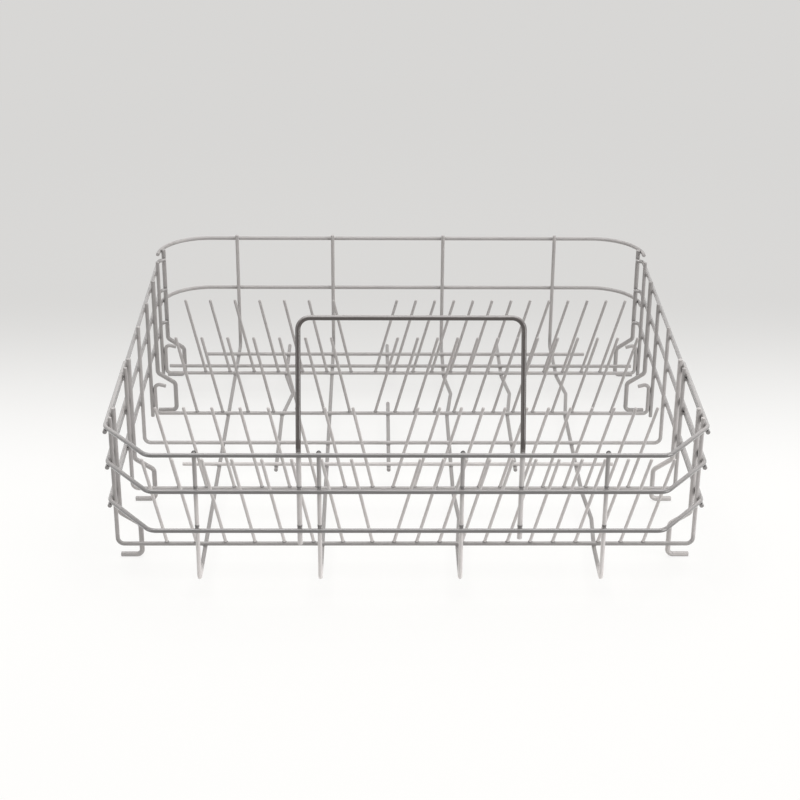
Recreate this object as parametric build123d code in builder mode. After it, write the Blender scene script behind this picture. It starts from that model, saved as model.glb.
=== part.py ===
from build123d import *
from math import atan2, cos, degrees, radians, sin, sqrt, tan
import os

# Lower basket of a dishwasher, welded from bent steel wire with a plastic coat.
# +Z is up, -Y is the front. The origin is the middle of the footprint, on the floor under the axle stubs.

# Coated wire diameters, and the round of the coat over each cut end
rail_dia = 4.0
frame_dia = 3.8
long_dia = 3.8
tine_dia = 3.0
axle_dia = 4.6
handle_dia = 4.5
end_round = 0.7
# Play left between two wires that touch at a weld
weld_gap = 0.05

# Width over the side rails, and depth over the front and rear rails
basket_width = 534.0
basket_depth = 532.8

# Front rails: straight front, slanted corners, then a leg along each side
corner_run = 56.0
corner_inset = 42.0
rail_bend = 12.0
front_leg_lap = 7.0

# Set-backs along the floor, each counted from the wire in front of it
frame_corner_gap = 0.4
frame_2_to_short_front = 51.4
short_front_to_frame_3 = 47.6
rear_bar_to_cross_wire = 19.0
cross_wire_to_short_rear = 33.0
short_rear_to_rear_rim = 37.5
# The depth that is left goes to three bays: frame 1 to 2, frame 3 to front tine bar, front to rear tine bar
front_bay_share = 0.3833
middle_bay_share = 0.2487

# Heights
floor_height = 20.4
low_rail_height = 71.2
low_to_mid_rail = 38.1
mid_to_top_rail = 35.0
rear_rim_lift = 4.5
low_to_rear_rail = 19.0

# Stand of the cut tops above the middle of the rail they are welded to
post_stand = 7.0
front_stay_stand = 3.5
rear_stay_stand = 10.0
rear_post_stand = 5.0
front_post_stand = 1.0

# Side rails and rear wires
side_rail_front_reach = 3.5
side_rail_hook = 8.0
side_rail_bend = 6.0
rear_corner = 52.0
rear_leg = 1.5

# Floor frames and the cranked tine bars
frame_bend = 6.0
tine_bar_rise = 34.0
tine_bar_hook = 11.5
tine_bar_hook_drop = 3.0
tine_bar_bend = 4.5
stay_drop = 4.0
cross_wire_wall_gap = 5.0

# Long floor wires, from the middle of the basket
long_1_x = -182.3
long_2_x = -126.0
long_3_x = -76.0
centre_wire_x = -14.8
long_4_x = 47.0
long_5_x = 110.5
long_6_x = 171.3
rear_post_bend = 8.0
front_post_bend = 5.0
jog_bend = 15.0
wide_jog = 9.0
rear_jog = 6.0
front_jog = 3.5
rear_jog_share = 0.4466
short_wire_overhang = 36.0
floor_wire_rear_reach = 34.0
floor_wire_front_reach = 6.0
centre_front_start_share = 0.32
centre_rear_end = 4.0

# Axle wires
stub_inset = 3.0
crank_depth = 18.2
crank_top_height = 46.0
crank_drop = 12.0
axle_bend = 5.0
frame_to_axle_1 = 19.5
frame_to_axle_2 = 20.5
axle_3_share = 0.4709
axle_4_into_corner = 8.5

# Tines
tine_height = 84.0
tine_tip_round = 1.2
left_lean = 12.6
right_lean = 15.5
left_pitch = 26.6
right_pitch = 20.6
left_wall_gap_rear = 46.5
left_wall_gap_front = 44.3
right_wall_gap_rear = 41.9
right_wall_gap_front = 45.2
rear_divide_x = -41.0
front_divide_x = -20.5
divide_gap = 7.5

# Handle
handle_width = 191.3
handle_beside_long_3 = 17.3
handle_left_foot = 15.7
handle_right_foot = 10.2
handle_upright = 8.0
handle_rise = 109.8
handle_lean = 36.0
handle_lean_bend = 30.0
handle_corner = 10.0

# Places worked out from the sizes above
corner_turn = degrees(atan2(corner_inset, corner_run))
corner_tangent = rail_bend * tan(radians(corner_turn / 2))
frame_1_back = corner_run + corner_tangent + frame_corner_gap
front_steps = frame_1_back + frame_2_to_short_front + short_front_to_frame_3
rear_steps = rear_bar_to_cross_wire + cross_wire_to_short_rear + short_rear_to_rear_rim
bay_room = basket_depth - rail_dia - front_steps - rear_steps
rear_bay = bay_room * (1 - front_bay_share - middle_bay_share)

front_y = (rail_dia - basket_depth) / 2
rear_y = -front_y
corner_y = front_y + corner_run
frame_1_y = front_y + frame_1_back
frame_2_y = frame_1_y + front_bay_share * bay_room
short_front_y = frame_2_y + frame_2_to_short_front
frame_3_y = short_front_y + short_front_to_frame_3
front_bar_y = frame_3_y + middle_bay_share * bay_room
rear_bar_y = front_bar_y + rear_bay
cross_wire_y = rear_bar_y + rear_bar_to_cross_wire
short_rear_y = cross_wire_y + cross_wire_to_short_rear
rear_corner_y = rear_y - rear_corner
axle_1_y = frame_1_y + frame_to_axle_1
axle_2_y = frame_2_y + frame_to_axle_2
axle_3_y = rear_bar_y - axle_3_share * rear_bay
axle_4_y = rear_corner_y + axle_4_into_corner

rail_x = basket_width / 2 - rail_dia / 2
frame_x = rail_x - (rail_dia + frame_dia) / 2 - weld_gap
axle_x = rail_x - (rail_dia + axle_dia) / 2 - weld_gap
axle_4_reach = rear_corner - (rail_dia + axle_dia) / 2 - weld_gap
axle_4_x = rail_x - rear_corner + sqrt(axle_4_reach**2 - axle_4_into_corner**2)
front_post_y = front_y + (rail_dia + long_dia) / 2 + weld_gap
rear_post_y = rear_y - (rail_dia + long_dia) / 2 - weld_gap
handle_y = front_y + (rail_dia + handle_dia) / 2 + weld_gap

long_z = floor_height
cross_z = long_z + (long_dia + frame_dia) / 2 + weld_gap
mid_rail_height = low_rail_height + low_to_mid_rail
top_rail_height = mid_rail_height + mid_to_top_rail
rear_rim_z = top_rail_height + rear_rim_lift
rear_rail_z = low_rail_height + low_to_rear_rail
side_drop = rail_dia + weld_gap
post_top_z = top_rail_height + post_stand

rail_levels = {"low": low_rail_height, "mid": mid_rail_height, "top": top_rail_height}
sides = {"left": -1, "right": 1}
os.makedirs("parts", exist_ok=True)


def keep(piece, name):
    piece.label = name
    export_step(piece, f"parts/{name}.step")


# A wire bent round the corners of its route
def bent_wire(route_points, bends, diameter):
    with BuildPart() as wire:
        with BuildLine() as route:
            FilletPolyline(*route_points, radius=bends)
        with BuildSketch(Plane(route.line @ 0, z_dir=route.line % 0)):
            Circle(diameter / 2)
        sweep()
        fillet(wire.faces().filter_by(GeomType.PLANE).edges(), end_round)
    return wire.part


# A straight length of wire
def straight_wire(start, end, diameter):
    with BuildPart() as wire:
        with BuildLine() as route:
            Line(start, end)
        with BuildSketch(Plane(route.line @ 0, z_dir=route.line % 0)):
            Circle(diameter / 2)
        sweep()
        fillet(wire.faces().filter_by(GeomType.PLANE).edges(), end_round)
    return wire.part


# Front rails, three levels of one plan, with legs that lie on the side rails
front_leg_end = axle_2_y + front_leg_lap
for level, height in rail_levels.items():
    front_route = [
        (-rail_x, front_leg_end, height),
        (-rail_x, corner_y, height),
        (corner_inset - rail_x, front_y, height),
        (rail_x - corner_inset, front_y, height),
        (rail_x, corner_y, height),
        (rail_x, front_leg_end, height),
    ]
    keep(bent_wire(front_route, rail_bend, rail_dia), f"front_rail_{level}")

# Side rails, under the legs of the front rails and hooked in front of the rear axle wires
hook_y = axle_4_y - (axle_dia + rail_dia) / 2 - weld_gap
side_rail_front = corner_y - side_rail_front_reach
for side, sign in sides.items():
    for level, height in rail_levels.items():
        side_route = [
            (sign * rail_x, side_rail_front, height - side_drop),
            (sign * rail_x, hook_y, height - side_drop),
            (sign * (rail_x - side_rail_hook), hook_y, height - side_drop),
        ]
        keep(bent_wire(side_route, side_rail_bend, rail_dia), f"side_rail_{level}_{side}")

# Rear rim and rear rail, with wide round corners
rear_leg_end = rear_corner_y - rear_leg
for name, height in {"rear_rim": rear_rim_z, "rear_rail": rear_rail_z}.items():
    rear_route = [
        (-rail_x, rear_leg_end, height),
        (-rail_x, rear_y, height),
        (rail_x, rear_y, height),
        (rail_x, rear_leg_end, height),
    ]
    keep(bent_wire(rear_route, rear_corner, rail_dia), name)

# U frames, across the floor and up both sides
for name, frame_y in {"frame_1": frame_1_y, "frame_2": frame_2_y, "frame_3": frame_3_y}.items():
    frame_route = [
        (-frame_x, frame_y, post_top_z),
        (-frame_x, frame_y, cross_z),
        (frame_x, frame_y, cross_z),
        (frame_x, frame_y, post_top_z),
    ]
    keep(bent_wire(frame_route, frame_bend, frame_dia), name)

# Tine bars, with ends cranked up inside the stays and hooked inward
tine_bar_x = frame_x - frame_dia - weld_gap
tine_bar_top = cross_z + tine_bar_rise
for name, bar_y in {"tine_bar_front": front_bar_y, "tine_bar_rear": rear_bar_y}.items():
    tine_bar_route = [
        (tine_bar_hook - tine_bar_x, bar_y, tine_bar_top - tine_bar_hook_drop),
        (-tine_bar_x, bar_y, tine_bar_top),
        (-tine_bar_x, bar_y, cross_z),
        (tine_bar_x, bar_y, cross_z),
        (tine_bar_x, bar_y, tine_bar_top),
        (tine_bar_x - tine_bar_hook, bar_y, tine_bar_top - tine_bar_hook_drop),
    ]
    keep(bent_wire(tine_bar_route, tine_bar_bend, frame_dia), name)

# Stays, straight posts outside the ends of the tine bars
stays = {"stay_front": (front_bar_y, front_stay_stand), "stay_rear": (rear_bar_y, rear_stay_stand)}
for side, sign in sides.items():
    for name, (stay_y, stand) in stays.items():
        stay_foot = (sign * frame_x, stay_y, cross_z - stay_drop)
        stay_top = (sign * frame_x, stay_y, top_rail_height + stand)
        keep(straight_wire(stay_foot, stay_top, frame_dia), f"{name}_{side}")

# Straight cross wires on the long wires
cross_wire_x = frame_x - cross_wire_wall_gap
short_left_x = long_1_x - short_wire_overhang
short_right_x = long_6_x + short_wire_overhang
cross_wires = {
    "cross_wire": (-cross_wire_x, cross_wire_x, cross_wire_y),
    "short_wire_rear": (short_left_x, short_right_x, short_rear_y),
    "short_wire_front": (short_left_x, short_right_x, short_front_y),
}
for name, (left_x, right_x, wire_y) in cross_wires.items():
    keep(straight_wire((left_x, wire_y, cross_z), (right_x, wire_y, cross_z), frame_dia), name)

# Long wires, up the rear wall, along the floor under the frames and up the front
rear_post_top = rear_rim_z + rear_post_stand
front_post_top = top_rail_height + front_post_stand
rear_jog_y = rear_bar_y - rear_jog_share * rear_bay
front_jog_y = (frame_1_y + frame_2_y) / 2
for name, x in {"long_wire_1": long_1_x, "long_wire_3": long_3_x}.items():
    long_route = [
        (x, rear_post_y, rear_post_top),
        (x, rear_post_y, long_z),
        (x, front_post_y, long_z),
        (x, front_post_y, front_post_top),
    ]
    keep(bent_wire(long_route, [rear_post_bend, front_post_bend], long_dia), name)

# Long wires that are kinked sideways between the rows of tines
for name, x in {"long_wire_4": long_4_x, "long_wire_6": long_6_x}.items():
    kinked_route = [
        (x, rear_post_y, rear_post_top),
        (x, rear_post_y, long_z),
        (x, rear_bar_y, long_z),
        (x + rear_jog, rear_jog_y, long_z),
        (x, front_bar_y, long_z),
        (x, frame_2_y, long_z),
        (x + front_jog, front_jog_y, long_z),
        (x, frame_1_y, long_z),
        (x, front_post_y, long_z),
        (x, front_post_y, front_post_top),
    ]
    kinked_bends = [rear_post_bend] + 6 * [jog_bend] + [front_post_bend]
    keep(bent_wire(kinked_route, kinked_bends, long_dia), name)

# Floor wires that stay flat, from the rear wall to the front short wire
floor_rear_y = short_rear_y + floor_wire_rear_reach
floor_front_y = short_front_y - floor_wire_front_reach
floor_wires = {"floor_wire_2": (long_2_x, wide_jog), "floor_wire_5": (long_5_x, rear_jog)}
for name, (x, jog) in floor_wires.items():
    floor_route = [
        (x, floor_rear_y, long_z),
        (x, rear_bar_y, long_z),
        (x + jog, rear_jog_y, long_z),
        (x, front_bar_y, long_z),
        (x, floor_front_y, long_z),
    ]
    keep(bent_wire(floor_route, jog_bend, long_dia), name)

# Middle floor wire, in two lengths
centre_wires = {
    "centre_wire_rear": (floor_rear_y, cross_wire_y - centre_rear_end),
    "centre_wire_front": (front_bar_y + centre_front_start_share * rear_bay, floor_front_y),
}
for name, (back_end, front_end) in centre_wires.items():
    centre_start = (centre_wire_x, back_end, long_z)
    centre_stop = (centre_wire_x, front_end, long_z)
    keep(straight_wire(centre_start, centre_stop, long_dia), name)

# Axle wires, down the side, cranked inward and out again as a stub for a wheel
stub_z = axle_dia / 2
crank_x = axle_x - crank_depth
stub_end_x = rail_x - stub_inset
axles = {
    "axle_1": (axle_x, axle_1_y),
    "axle_2": (axle_x, axle_2_y),
    "axle_3": (axle_x, axle_3_y),
    "axle_4": (axle_4_x, axle_4_y),
}
for side, sign in sides.items():
    for name, (leg_x, axle_y) in axles.items():
        axle_route = [
            (sign * leg_x, axle_y, post_top_z),
            (sign * leg_x, axle_y, crank_top_height),
            (sign * crank_x, axle_y, crank_top_height - crank_drop),
            (sign * crank_x, axle_y, stub_z),
            (sign * stub_end_x, axle_y, stub_z),
        ]
        keep(bent_wire(axle_route, axle_bend, axle_dia), f"{name}_{side}")


# One half of a row of tines, standing on a cross wire, with the coat rounded over the tips
def tine_row(first_x, step, count, row_y, lean):
    foot_z = cross_z + frame_dia / 2 + weld_gap + tine_dia / 2 * sin(radians(abs(lean)))
    tine_length = tine_height / cos(radians(lean))
    feet = [Location((first_x + i * step, row_y, foot_z), (0, lean, 0)) for i in range(count)]
    with BuildPart() as row:
        with Locations(*feet):
            Cylinder(tine_dia / 2, tine_length, align=(Align.CENTER, Align.CENTER, Align.MIN))
        tips = row.edges().filter_by(GeomType.CIRCLE).group_by(Axis.Z)[-1]
        fillet(tips, tine_tip_round)
    return row.part


# Tines, leaning outward from a divide left of the middle
tine_rows = {
    "rear": (rear_bar_y, left_wall_gap_rear, right_wall_gap_rear, rear_divide_x),
    "mid_rear": (front_bar_y, left_wall_gap_rear, right_wall_gap_rear, rear_divide_x),
    "mid_front": (frame_2_y, left_wall_gap_front, right_wall_gap_front, front_divide_x),
    "front": (frame_1_y, left_wall_gap_front, right_wall_gap_front, front_divide_x),
}
for row_name, (row_y, left_gap, right_gap, divide_x) in tine_rows.items():
    left_first_x = left_gap - frame_x
    right_first_x = frame_x - right_gap
    left_count = int((divide_x - divide_gap - left_first_x) / left_pitch) + 1
    right_count = int((right_first_x - divide_gap - divide_x) / right_pitch) + 1
    left_row = tine_row(left_first_x, left_pitch, left_count, row_y, -left_lean)
    keep(left_row, f"tines_{row_name}_left")
    right_row = tine_row(right_first_x, -right_pitch, right_count, row_y, right_lean)
    keep(right_row, f"tines_{row_name}_right")

# Handle, a bow inside the front rails that leans back over the basket
handle_left_x = long_3_x - handle_beside_long_3
handle_right_x = handle_left_x + handle_width
handle_knee_z = top_rail_height + handle_upright
handle_top_z = top_rail_height + handle_rise
handle_route = [
    (handle_left_x, handle_y, low_rail_height - handle_left_foot),
    (handle_left_x, handle_y, handle_knee_z),
    (handle_left_x, handle_y + handle_lean, handle_top_z),
    (handle_right_x, handle_y + handle_lean, handle_top_z),
    (handle_right_x, handle_y, handle_knee_z),
    (handle_right_x, handle_y, low_rail_height - handle_right_foot),
]
handle_bends = [handle_lean_bend, handle_corner, handle_corner, handle_lean_bend]
keep(bent_wire(handle_route, handle_bends, handle_dia), "handle")
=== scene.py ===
import math

import bpy
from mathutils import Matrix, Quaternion, Vector


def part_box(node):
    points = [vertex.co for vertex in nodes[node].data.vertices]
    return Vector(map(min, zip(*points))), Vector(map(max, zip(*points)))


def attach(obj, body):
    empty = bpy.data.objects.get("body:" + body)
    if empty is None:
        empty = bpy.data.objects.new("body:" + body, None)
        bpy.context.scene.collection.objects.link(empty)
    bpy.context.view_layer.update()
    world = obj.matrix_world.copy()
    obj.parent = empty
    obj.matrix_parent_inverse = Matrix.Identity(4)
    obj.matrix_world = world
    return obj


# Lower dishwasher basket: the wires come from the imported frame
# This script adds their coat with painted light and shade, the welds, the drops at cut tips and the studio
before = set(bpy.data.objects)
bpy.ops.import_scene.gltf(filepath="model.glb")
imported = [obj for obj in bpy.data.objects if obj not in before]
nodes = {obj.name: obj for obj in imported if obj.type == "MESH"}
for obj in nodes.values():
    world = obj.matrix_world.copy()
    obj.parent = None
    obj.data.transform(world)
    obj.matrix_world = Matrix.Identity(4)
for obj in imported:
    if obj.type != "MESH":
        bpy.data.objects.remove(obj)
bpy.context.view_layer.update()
boxes = {name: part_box(name) for name in nodes}
scene = bpy.context.scene
print("frame loaded:", len(nodes), "nodes")

# Sockets of a colour mix node
mixFirst = 6
mixSecond = 7
mixResult = 2


def even(tone):
    return (tone, tone, tone)


def opaque(colour, tone=1.0):
    return tuple(tone * part for part in colour) + (1.0,)


def addNode(tree, kind, **values):
    node = tree.nodes.new(kind)
    for name, value in values.items():
        if name in node.inputs:
            node.inputs[name].default_value = value
        else:
            setattr(node, name, value)
    return node


def mapRange(tree, value, fromEnds, toEnds=(0.0, 1.0), kind="LINEAR"):
    node = addNode(tree, "ShaderNodeMapRange", interpolation_type=kind)
    node.inputs["From Min"].default_value, node.inputs["From Max"].default_value = fromEnds
    node.inputs["To Min"].default_value, node.inputs["To Max"].default_value = toEnds
    tree.links.new(value, node.inputs["Value"])
    return node.outputs["Result"]


# Each of the two colours is a colour or the socket that gives it
def mixColours(tree, share, first, second, blend="MIX"):
    node = addNode(tree, "ShaderNodeMix", data_type="RGBA", blend_type=blend)
    tree.links.new(share, node.inputs[0])
    for socket, colour in ((mixFirst, first), (mixSecond, second)):
        if isinstance(colour, tuple):
            node.inputs[socket].default_value = colour
        else:
            tree.links.new(colour, node.inputs[socket])
    return node.outputs[mixResult]


def joinValues(tree, first, second, operation):
    node = addNode(tree, "ShaderNodeMath", operation=operation)
    tree.links.new(first, node.inputs[0])
    tree.links.new(second, node.inputs[1])
    return node.outputs[0]


# Coat of the wires: satin grey plastic, a little mottled, with painted shade where two wires meet
coatLook = {
    "light": (0.485, 0.461, 0.450),
    "shade": (0.405, 0.384, 0.374),
    "mottleScale": 55.0,
    "mottleDetail": 4.0,
    "roughness": (0.26, 0.42),
    "clear": 0.0,
    "clearRoughness": 0.12,
    "grainScale": 900.0,
    "grainDetail": 2.0,
    "bumpDepth": 0.00012,
    "bumpStrength": 0.6,
    "creviceShade": (0.055, 0.050, 0.047),
    "crevice": 0.0022,
    "creviceEnds": (0.25, 0.75),
    "creviceRays": 8,
    "bands": [],
    "topLight": even(1.0),
    "topLightEnds": (0.35, 0.75),
}

# Tone of each group against the plain coat, which is one grey all over: the tones of the groups are painted
# light and shade, lighter at the front and on the right, darker on the floor, the rails and the rear; the
# dark bow of the handle is its own darker coat. Then the pieces that wear it, bands where the tone changes
# along a piece (tone, then one or two ranges: axis, start, end), mostly painted light and shade, and the
# painted top light on faces that point up
railGloss = (0.14, 0.24)
frontLegs = ("Y", -0.235, -0.255)
coatsAndLight = {
    "wireCoat": {"on": (), "tone": 0.97},
    # painted top light, painted shade low down and painted light on the right-hand post
    "frontFrameCoat": {"on": ("frame_1",), "tone": 0.97, "topLight": even(1.12),
                       "bands": [(even(0.72), ("Z", 0.036, 0.026)), (even(1.25), ("X", 0.240, 0.258))]},
    "crossWireCoat": {"on": ("tine_bar", "cross_wire", "short_wire_rear"), "tone": 0.88},
    "shortWireCoat": {"on": ("short_wire_front",), "tone": 1.35},
    # dark tone, lighter behind the front run and on top: painted light and shade
    "frontRailCoat": {"on": ("front_rail",), "tone": 0.38, "roughness": railGloss, "clear": 1.0,
                      "bands": [(even(1.6), ("Y", -0.258, -0.212))], "topLight": even(1.6)},
    "sideRailCoat": {"on": ("side_rail",), "tone": 0.66, "roughness": railGloss, "clear": 1.0,
                     "topLight": even(1.1)},
    "rearRailCoat": {"on": ("rear_rim", "rear_rail"), "tone": 0.84},
    # darker floor run, lighter rear legs, much lighter front legs, darker high up on them: painted light and
    # shade
    "longWireCoat": {"on": ("long_wire",), "tone": 0.70,
                     "bands": [(even(1.36), ("Z", 0.026, 0.040), ("Y", 0.10, 0.15)),
                               (even(2.45), frontLegs),
                               (even(0.62), frontLegs, ("Z", 0.092, 0.122))]},
    "floorWireCoat": {"on": ("floor_wire", "centre_wire"), "tone": 0.74},
    # lighter right-hand axle wires: painted light from the right
    "rightAxleCoat": {"on": ("axle_1_right", "axle_2_right"), "tone": 1.20},
    "rearSideCoat": {"on": ("stay_", "axle_3", "axle_4"), "tone": 0.76},
    # tine rows lighter towards the front: painted light
    "rearTineCoat": {"on": ("tines_rear",), "tone": 0.92},
    "frontTineCoat": {"on": ("tines_front",), "tone": 1.46},
    "midTineCoat": {"on": ("tines_mid_front",), "tone": 1.27},
    # legs painted lighter, the bow its own darker coat with a painted highlight on its top
    "handleCoat": {"on": ("handle",), "tone": 1.60, "roughness": railGloss, "clear": 0.4,
                   "bands": [((0.113, 0.097, 0.090), ("Z", 0.138, 0.150))], "topLight": (3.7, 4.2, 4.5)},
    # darker weld beads, shade bands and tine feet: painted shade
    "weldShadeCoat": {"on": (), "tone": 0.60, "creviceShade": (0.14, 0.125, 0.122)},
    "thinWeldShadeCoat": {"on": (), "tone": 0.80, "creviceShade": (0.24, 0.222, 0.215)},
    # dark drops on the front leg tips: painted shade
    "tipShadeCoat": {"on": (), "tone": 0.16},
}


def bandShare(tree, spot, ranges):
    shares = [mapRange(tree, spot.outputs[axis], (start, end)) for axis, start, end in ranges]
    share = shares[0]
    for other in shares[1:]:
        share = joinValues(tree, share, other, "MULTIPLY")
    return share


def makeCoat(name, coatAndLight):
    look = dict(coatLook, **coatAndLight)
    material = bpy.data.materials.new(name)
    material.use_nodes = True
    tree = material.node_tree
    tree.nodes.clear()
    link = tree.links.new
    place = addNode(tree, "ShaderNodeTexCoord")
    spot = addNode(tree, "ShaderNodeSeparateXYZ")
    facing = addNode(tree, "ShaderNodeSeparateXYZ")
    mottle = addNode(tree, "ShaderNodeTexNoise", Scale=look["mottleScale"], Detail=look["mottleDetail"])
    grain = addNode(tree, "ShaderNodeTexNoise", Scale=look["grainScale"], Detail=look["grainDetail"])
    link(place.outputs["Object"], spot.inputs[0])
    link(place.outputs["Normal"], facing.inputs[0])
    link(place.outputs["Object"], mottle.inputs["Vector"])
    link(place.outputs["Object"], grain.inputs["Vector"])
    # mottled grey, its painted light and shade along the piece and painted light on top, then painted shade
    # in the nooks
    shade = opaque(look["shade"], look["tone"])
    light = opaque(look["light"], look["tone"])
    colour = mixColours(tree, mottle.outputs["Fac"], shade, light)
    for tone, *ranges in look["bands"]:
        colour = mixColours(tree, bandShare(tree, spot, ranges), colour, opaque(tone), "MULTIPLY")
    # painted light: faces that point up are made lighter
    topLightShare = mapRange(tree, facing.outputs["Z"], look["topLightEnds"])
    colour = mixColours(tree, topLightShare, colour, opaque(look["topLight"]), "MULTIPLY")
    nook = addNode(tree, "ShaderNodeAmbientOcclusion", Distance=look["crevice"], samples=look["creviceRays"])
    unshaded = mapRange(tree, nook.outputs["AO"], look["creviceEnds"])
    colour = mixColours(tree, unshaded, opaque(look["creviceShade"]), colour)
    # satin surface with a fine grain
    bump = addNode(tree, "ShaderNodeBump", Distance=look["bumpDepth"], Strength=look["bumpStrength"])
    shader = addNode(tree, "ShaderNodeBsdfPrincipled")
    shader.inputs["Coat Weight"].default_value = look["clear"]
    shader.inputs["Coat Roughness"].default_value = look["clearRoughness"]
    gloss = mapRange(tree, mottle.outputs["Fac"], (0.0, 1.0), look["roughness"])
    output = addNode(tree, "ShaderNodeOutputMaterial")
    link(grain.outputs["Fac"], bump.inputs["Height"])
    link(colour, shader.inputs["Base Color"])
    link(gloss, shader.inputs["Roughness"])
    link(bump.outputs["Normal"], shader.inputs["Normal"])
    link(shader.outputs["BSDF"], output.inputs["Surface"])
    return material


coats = {name: makeCoat(name, coatAndLight) for name, coatAndLight in coatsAndLight.items()}


def coatOf(nodeName):
    worn = [name for name, coatAndLight in coatsAndLight.items() if nodeName.startswith(coatAndLight["on"])]
    return coats[worn[0] if worn else "wireCoat"]


for name, node in nodes.items():
    node.data.materials.clear()
    node.data.materials.append(coatOf(name))
print("coat on the wires:", len(coats), "coatsAndLight")

# Coat that has run together round each weld, toned darker as painted shade: small ellipsoids, half sizes in
# metres
bead = {"reach": 0.0023, "thick": 0.0011, "around": 14, "rings": 8}
flatX = (bead["thick"], bead["reach"], bead["reach"])
flatY = (bead["reach"], bead["thick"], bead["reach"])
flatZ = (bead["reach"], bead["reach"], bead["thick"])


def addBeads(name, places, coat):
    around = bead["around"]
    rings = bead["rings"]
    points = []
    faces = []
    for place, reach in places:
        start = len(points)
        for ring in range(rings + 1):
            tilt = math.pi * ring / rings
            for step in range(around):
                turn = 2 * math.pi * step / around
                spot = (math.sin(tilt) * math.cos(turn), math.sin(tilt) * math.sin(turn), math.cos(tilt))
                points.append([place[i] + reach[i] * spot[i] for i in range(3)])
        for ring in range(rings):
            for step in range(around):
                a = start + ring * around + step
                b = start + ring * around + (step + 1) % around
                faces.append((a, a + around, b + around, b))
    mesh = bpy.data.meshes.new(name)
    mesh.from_pydata(points, [], faces)
    mesh.validate()
    mesh.shade_smooth()
    mesh.materials.append(coats[coat])
    piece = bpy.data.objects.new(name, mesh)
    scene.collection.objects.link(piece)
    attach(piece, "root")
    print(name, len(places), "beads")


def middle(name, axis):
    low, high = boxes[name]
    return (low[axis] + high[axis]) / 2


def named(*starts):
    return [name for name in sorted(nodes) if name.startswith(starts)]


# Floor: the long wires lie under the cross wires, kinked ones start from their left edge
longWires = named("long_wire", "floor_wire", "centre_wire")
crossWires = named("frame_", "tine_bar", "cross_wire", "short_wire")
floorTop = boxes["floor_wire_2"][1].z
longWide = floorTop - boxes["floor_wire_2"][0].z
longX = {name: boxes[name][0].x + longWide / 2 for name in longWires}
places = []
for along in longWires:
    for across in crossWires:
        y = middle(across, 1)
        inDepth = boxes[along][0].y < y < boxes[along][1].y
        inWidth = boxes[across][0].x < longX[along] < boxes[across][1].x
        if inDepth and inWidth:
            places.append(((longX[along], y, floorTop), flatZ))
addBeads("weldCoatFloor", places, "thinWeldShadeCoat")

# Front: legs of the long wires and of the handle behind the front rails
# with a flat bead at each rail and a dark band of painted shade round the leg above the two lower rails
frontWeld = {"shadeBand": (0.00205, 0.00205, 0.0040), "shadeBandRise": 0.003, "handleRound": 0.00225}
wireWide = boxes["side_rail_top_left"][1].z - boxes["side_rail_top_left"][0].z
handleLow, handleHigh = boxes["handle"]
handleRound = frontWeld["handleRound"]
legs = [(longX[name], boxes[name][0].y, longWide / 2) for name in named("long_wire")]
legs.append((handleLow.x + handleRound, handleLow.y, handleRound))
legs.append((handleHigh.x - handleRound, handleLow.y, handleRound))
places = []
for rail in named("front_rail"):
    height = middle(rail, 2)
    for x, legFront, legRound in legs:
        y = (boxes[rail][0].y + wireWide + legFront) / 2
        places.append(((x, y, height), flatY))
        if rail != "front_rail_top":
            wider = legRound - longWide / 2
            shadeBand = (frontWeld["shadeBand"][0] + wider, frontWeld["shadeBand"][1] + wider, frontWeld["shadeBand"][2])
            places.append(((x, legFront + legRound, height + frontWeld["shadeBandRise"]), shadeBand))
addBeads("weldBeadsAndShadeFront", places, "weldShadeCoat")

# Sides: posts and axle wires inside the side rails and the legs of the front rails
# which start behind the slanted corners, and the ends of the tine bars beside their stays
sideWeld = {"slantDepth": 0.06, "lap": (0.0011, 0.00184, 0.009)}
railFace = boxes["front_rail_top"][1].x - wireWide
places = []
for rail in named("side_rail", "front_rail"):
    railStart = boxes[rail][0].y + (sideWeld["slantDepth"] if rail.startswith("front") else 0.0)
    for post in named("frame_", "stay_", "axle_1", "axle_2", "axle_3"):
        y = middle(post, 1)
        for sign in (-1, 1):
            postHere = max(boxes[post][0].x * sign, boxes[post][1].x * sign) > 0
            railHere = max(boxes[rail][0].x * sign, boxes[rail][1].x * sign) > 0
            if postHere and railHere and railStart < y < boxes[rail][1].y:
                places.append(((sign * railFace, y, middle(rail, 2)), flatX))
for bar in named("tine_bar"):
    for sign in (-1, 1):
        places.append(((sign * boxes[bar][1].x, middle(bar, 1), middle(bar, 2)), sideWeld["lap"]))
addBeads("weldCoatSides", places, "thinWeldShadeCoat")

# Rear: legs of the long wires inside the rear rim and rear rail
places = []
for rail in ("rear_rim", "rear_rail"):
    for leg in named("long_wire"):
        y = (boxes[rail][1].y - wireWide + boxes[leg][1].y) / 2
        places.append(((longX[leg], y, middle(rail, 2)), flatY))
addBeads("weldCoatRear", places, "thinWeldShadeCoat")

# Tines: one bead round each foot, dark with painted shade, found from the lowest ring of each tine
tineFoot = {"size": (0.0021, 0.0018, 0.0013), "slice": 0.0009, "apart": 0.004}
places = []
for row in named("tines"):
    low = boxes[row][0]
    lowest = [vertex.co for vertex in nodes[row].data.vertices if vertex.co.z < low.z + tineFoot["slice"]]
    feet = []
    for point in sorted(lowest, key=lambda co: co.x):
        if not feet or point.x - feet[-1][-1].x > tineFoot["apart"]:
            feet.append([])
        feet[-1].append(point)
    for ring in feet:
        x = sum(co.x for co in ring) / len(ring)
        places.append(((x, middle(row, 1), low.z), tineFoot["size"]))
addBeads("tineFootCoat", places, "weldShadeCoat")

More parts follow.
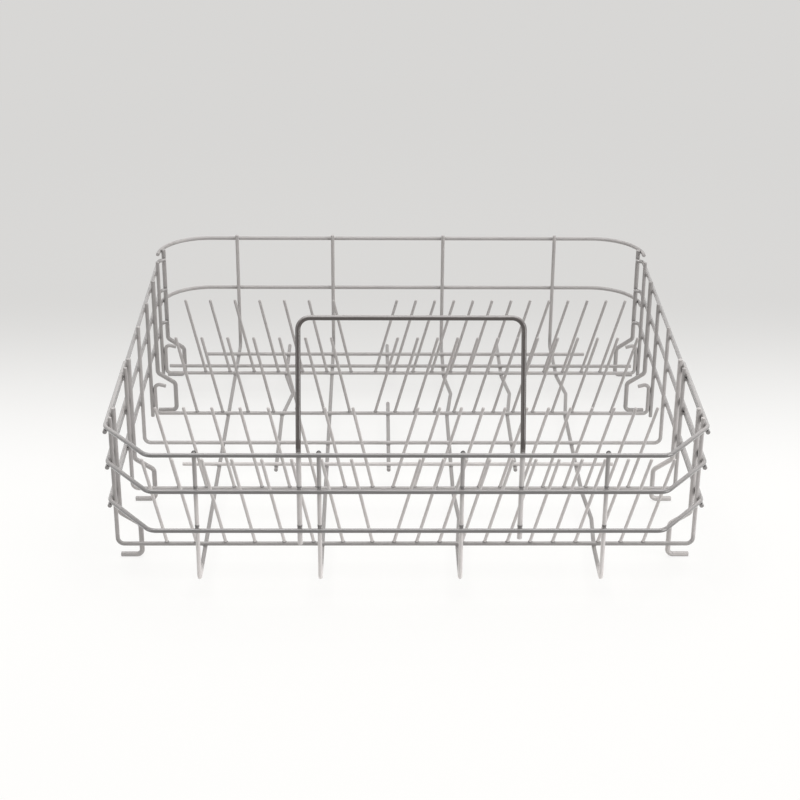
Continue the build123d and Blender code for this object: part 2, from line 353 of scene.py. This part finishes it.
# Tips of the front legs: a dark drop of painted shade on each, found from the highest points in front of the
# middle
legTip = {"size": (0.0024, 0.0024, 0.0030), "sink": 0.0014}
places = []
for name in named("long_wire"):
    top = max(vertex.co.z for vertex in nodes[name].data.vertices if vertex.co.y < 0)
    places.append(((longX[name], boxes[name][0].y + longWide / 2, top - legTip["sink"]), legTip["size"]))
addBeads("frontLegTipShade", places, "tipShadeCoat")

# Studio: pale floor, white in front and light grey towards the rear as painted shade, under wide soft light
# As a source of bounced light it ends in front of the basket, so the front rails stay dark below
studio = {
    "floorSize": 14.0,
    "bounce": (0.84, 0.835, 0.825),
    "edge": even(0.06),
    "edgeY": (-0.43, -0.34),
    "front": (0.98, 0.975, 0.962),
    "rear": (0.686, 0.679, 0.667),
    "floorShadeY": (-0.06, 0.48),
    "glow": 0.85,
    "glowReach": (0.7, 1.5),
    "skyReach": (2.6, 6.0),
    "skyLight": 0.26,
    "skyShown": 0.78,
}
floorMesh = bpy.data.meshes.new("floor")
half = studio["floorSize"] / 2
floorCorners = [(-half, -half, 0), (half, -half, 0), (half, half, 0), (-half, half, 0)]
floorMesh.from_pydata(floorCorners, [], [(0, 1, 2, 3)])
floor = bpy.data.objects.new("floor", floorMesh)
scene.collection.objects.link(floor)


# Camera rays, reflections and see-through rays show the pale background, all others only its light
def seenRays(tree):
    rays = addNode(tree, "ShaderNodeLightPath")
    direct = joinValues(tree, rays.outputs["Is Camera Ray"], rays.outputs["Is Glossy Ray"], "MAXIMUM")
    return joinValues(tree, direct, rays.outputs["Is Transmission Ray"], "MAXIMUM")


def makePaper():
    paper = bpy.data.materials.new("floorPaper")
    paper.use_nodes = True
    tree = paper.node_tree
    tree.nodes.clear()
    link = tree.links.new
    place = addNode(tree, "ShaderNodeTexCoord")
    spot = addNode(tree, "ShaderNodeSeparateXYZ")
    distance = addNode(tree, "ShaderNodeVectorMath", operation="LENGTH")
    link(place.outputs["Object"], spot.inputs[0])
    link(place.outputs["Object"], distance.inputs[0])
    # shown colour: white to grey towards the rear as painted shade, and far off it turns into the sky
    rearFloorShade = mapRange(tree, spot.outputs["Y"], studio["floorShadeY"], kind="SMOOTHSTEP")
    shown = mixColours(tree, rearFloorShade, opaque(studio["front"]), opaque(studio["rear"]))
    away = mapRange(tree, distance.outputs["Value"], studio["skyReach"])
    shown = mixColours(tree, away, shown, opaque(even(studio["skyShown"])))
    # seen: mostly its own glow, with a share near the basket that takes the shadow of the wires
    glow = addNode(tree, "ShaderNodeEmission")
    shaded = addNode(tree, "ShaderNodeBsdfDiffuse")
    seen = addNode(tree, "ShaderNodeMixShader")
    link(shown, glow.inputs["Color"])
    link(shown, shaded.inputs["Color"])
    ownLight = mapRange(tree, distance.outputs["Value"], studio["glowReach"], (studio["glow"], 1.0))
    link(ownLight, seen.inputs[0])
    link(shaded.outputs[0], seen.inputs[1])
    link(glow.outputs[0], seen.inputs[2])
    # bounce: plain paper that ends in front of the basket
    inward = mapRange(tree, spot.outputs["Y"], studio["edgeY"])
    bounce = addNode(tree, "ShaderNodeBsdfDiffuse")
    link(mixColours(tree, inward, opaque(studio["edge"]), opaque(studio["bounce"])), bounce.inputs["Color"])
    both = addNode(tree, "ShaderNodeMixShader")
    output = addNode(tree, "ShaderNodeOutputMaterial")
    link(seenRays(tree), both.inputs[0])
    link(bounce.outputs[0], both.inputs[1])
    link(seen.outputs[0], both.inputs[2])
    link(both.outputs[0], output.inputs["Surface"])
    return paper


floorMesh.materials.append(makePaper())

world = bpy.data.worlds.new("studioLight")
scene.world = world
world.use_nodes = True
skyTree = world.node_tree
skyTree.nodes.clear()
skyWhite = opaque(even(1.0))
skyLight = addNode(skyTree, "ShaderNodeBackground", Color=skyWhite, Strength=studio["skyLight"])
skyShown = addNode(skyTree, "ShaderNodeBackground", Color=skyWhite, Strength=studio["skyShown"])
skyMix = addNode(skyTree, "ShaderNodeMixShader")
skyOutput = addNode(skyTree, "ShaderNodeOutputWorld")
skyTree.links.new(seenRays(skyTree), skyMix.inputs[0])
skyTree.links.new(skyLight.outputs[0], skyMix.inputs[1])
skyTree.links.new(skyShown.outputs[0], skyMix.inputs[2])
skyTree.links.new(skyMix.outputs[0], skyOutput.inputs["Surface"])

# Soft lamps, stronger from the right, all turned to the basket
lampAim = Vector((0.0, 0.0, 0.1))
lamps = {
    "softTop": {"place": (0.0, 0.3, 2.18), "size": 2.4, "power": 52.0},
    "softLeft": {"place": (-3.2, -1.9, 1.0), "size": 2.0, "power": 24.0},
    "softRight": {"place": (3.2, -1.9, 1.0), "size": 2.0, "power": 70.0},
}
for name, lamp in lamps.items():
    light = bpy.data.lights.new(name, "AREA")
    light.shape = "SQUARE"
    light.size = lamp["size"]
    light.energy = lamp["power"]
    lampObject = bpy.data.objects.new(name, light)
    lampObject.location = lamp["place"]
    lampObject.visible_camera = False
    lampObject.rotation_mode = "QUATERNION"
    lampObject.rotation_quaternion = (lampAim - Vector(lamp["place"])).to_track_quat("-Z", "Y")
    scene.collection.objects.link(lampObject)
print("studio set:", len(lamps), "lamps")

# Camera, worked out from the straight wires in the photograph
shot = {"place": (-0.02645, -1.6234, 0.8301), "down": 25.0, "turn": 0.815, "roll": 0.392,
        "lens": 80.55, "sensor": 36.0}
down = math.radians(shot["down"])
turn = math.radians(shot["turn"])
ahead = Vector((math.sin(turn) * math.cos(down), math.cos(turn) * math.cos(down), -math.sin(down)))
roll = Quaternion((0, 0, 1), math.radians(shot["roll"]))
camera = bpy.data.objects.new("camera", bpy.data.cameras.new("camera"))
camera.data.lens = shot["lens"]
camera.data.sensor_width = shot["sensor"]
camera.location = shot["place"]
camera.rotation_mode = "QUATERNION"
camera.rotation_quaternion = ahead.to_track_quat("-Z", "Y") @ roll
scene.collection.objects.link(camera)
scene.camera = camera
scene.view_settings.view_transform = "Standard"
print("camera set")
